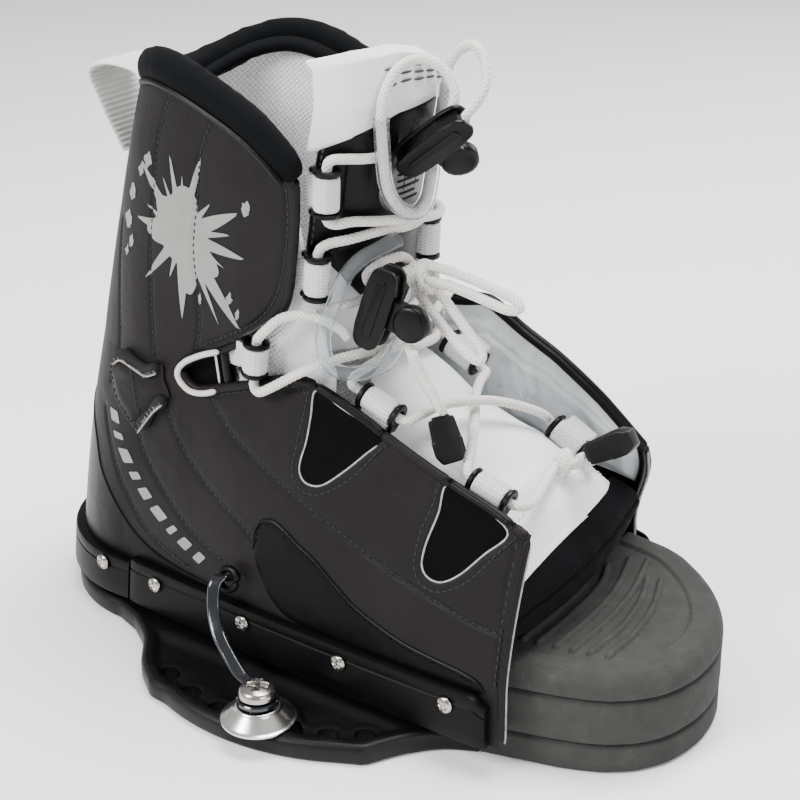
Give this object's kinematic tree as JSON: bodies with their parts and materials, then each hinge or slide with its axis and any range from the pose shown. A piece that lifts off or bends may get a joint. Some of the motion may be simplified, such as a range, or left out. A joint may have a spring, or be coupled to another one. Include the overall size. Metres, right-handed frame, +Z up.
{
  "type": "wakeboard boot binding",
  "caption": "Right-foot lace-up open-toe boot on a winged mounting plate with foam footbed, side rails, lace locks, heel pull loop and turning board screws.",
  "frame": {"origin": "centre of the board screw circle on the mounting plate's flat underside", "axes": "+X towards the toe, +Y towards the boot's inner side, +Z up out of the board"},
  "size_m": [0.2586, 0.1758, 0.2176],
  "materials": {
    "composite": "moulded glass-filled composite, fine matt grain",
    "eva": "soft closed-cell foam, matt",
    "rail": "matt moulded, rounded edges",
    "leather": "fine-grained synthetic leather, low sheen",
    "neoprene": "jersey-faced neoprene, matt",
    "mesh": "white knitted mesh lining",
    "elastic": "white stretch fabric",
    "overlay": "moulded soft plastic, satin",
    "webbing": "woven white ribbed webbing",
    "clip": "moulded black plastic, satin",
    "lace": "off-white round braid",
    "tube": "clear soft tubing",
    "steel": "polished stainless",
    "washer": "turned, polished",
    "strap": "smoky flexible plastic"
  },
  "bodies": {
    "boot": {"base_plate": "composite", "footbed": "eva", "heel_rail": "rail", "rail_near": "rail", "rail_far": "rail", "heel_rail_screw": "steel", "rail_screw_1": "steel", "rail_screw_2": "steel", "rail_screw_3": "steel", "rail_screw_4": "steel", "quarter_near": "leather", "quarter_far": "leather", "cuff_near": "leather", "cuff_far": "leather", "liner": "mesh", "collar": "neoprene", "vamp": "mesh", "toe_rim": "neoprene", "tongue": "mesh", "tongue_overlay": "overlay", "tongue_band": "elastic", "heel_loop": "webbing", "spool_near_top": "clip", "webbing_near_top": "webbing", "spool_near_mid": "clip", "webbing_near_mid": "webbing", "spool_near_ankle": "clip", "webbing_near_ankle": "webbing", "spool_near_instep": "clip", "webbing_near_instep": "webbing", "spool_near_toe": "clip", "webbing_near_toe": "webbing", "spool_far_mid": "clip", "webbing_far_mid": "webbing", "spool_far_instep": "clip", "webbing_far_instep": "webbing", "spool_far_toe": "clip", "webbing_far_toe": "webbing", "upper_lock_body": "clip", "upper_lock_spring": "steel", "lower_lock_body": "clip", "lower_lock_spring": "steel", "upper_lace_near": "lace", "upper_lace_far": "lace", "upper_pull_loop": "lace", "lower_lace_near": "lace", "lower_lace_far": "lace", "lace_tails": "lace", "upper_sleeve": "tube", "lower_sleeve": "tube", "tail_pull": "clip", "end_pull": "clip", "screw_tether": "strap"},
    "upper_lock_thumb": {"upper_lock_button": "clip"},
    "lower_lock_thumb": {"lower_lock_button": "clip"},
    "near_screw": {"mount_screw_near": "steel"},
    "far_screw": {"mount_screw_far": "steel"},
    "near_washer": {"mount_washer_near": "washer"},
    "far_washer": {"mount_washer_far": "washer"}
  },
  "joints": [
    {"name": "upper_lock_press", "type": "slide", "parent": "boot", "child": "upper_lock_thumb", "axis": [-0.3138, -0.7584, 0.5712], "range_m": [0, 0.0018], "stiffness_N_per_m": 500, "springref_m": -0.001, "deforming": ["upper_lock_spring"]},
    {"name": "lower_lock_press", "type": "slide", "parent": "boot", "child": "lower_lock_thumb", "axis": [-0.9555, -0.0624, 0.2882], "range_m": [0, 0.0018], "stiffness_N_per_m": 500, "springref_m": -0.001, "deforming": ["lower_lock_spring"]},
    {"name": "near_screw_turn", "type": "hinge", "parent": "boot", "child": "near_screw", "pos_m": [0.01192, -0.07526, 0.01], "axis": [0, 0, 1], "continuous": true},
    {"name": "far_screw_turn", "type": "hinge", "parent": "boot", "child": "far_screw", "pos_m": [0.01192, 0.07526, 0.01], "axis": [0, 0, 1], "continuous": true},
    {"name": "near_washer_turn", "type": "hinge", "parent": "boot", "child": "near_washer", "pos_m": [0.01192, -0.07526, 0.01], "axis": [0, 0, 1], "continuous": true},
    {"name": "far_washer_turn", "type": "hinge", "parent": "boot", "child": "far_washer", "pos_m": [0.01192, 0.07526, 0.01], "axis": [0, 0, 1], "continuous": true}
  ]
}
